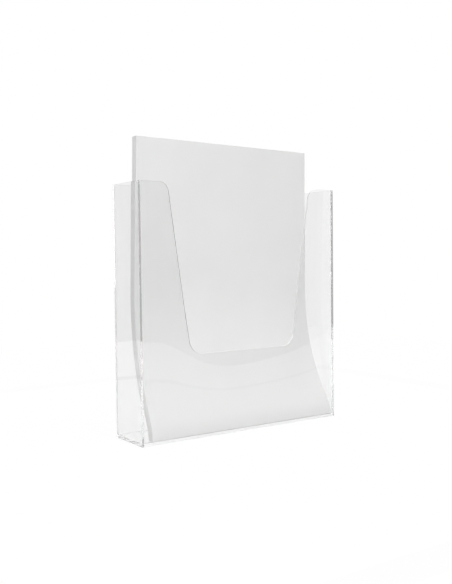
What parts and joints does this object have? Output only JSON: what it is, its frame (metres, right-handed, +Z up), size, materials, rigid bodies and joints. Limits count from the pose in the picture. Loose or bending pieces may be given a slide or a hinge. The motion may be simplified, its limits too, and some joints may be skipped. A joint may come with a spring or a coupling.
{
  "type": "magazine rack",
  "caption": "Shallow open-topped clear acrylic box with a U-shaped cut-out in its front wall and a taller curved opal panel inside that holds magazines upright.",
  "frame": {"origin": "on the table, under the middle of the box", "axes": "+Z up, front faces -Y, +X to the right of a person facing the front"},
  "size_m": [0.236, 0.051, 0.289],
  "materials": {
    "clear_acrylic": "polished",
    "opal_panel": "gloss"
  },
  "bodies": {
    "root": {"front_panel": "clear_acrylic", "back_panel": "clear_acrylic", "left_side_panel": "clear_acrylic", "right_side_panel": "clear_acrylic", "base_panel": "clear_acrylic", "curved_panel": "opal_panel"}
  },
  "joints": []
}
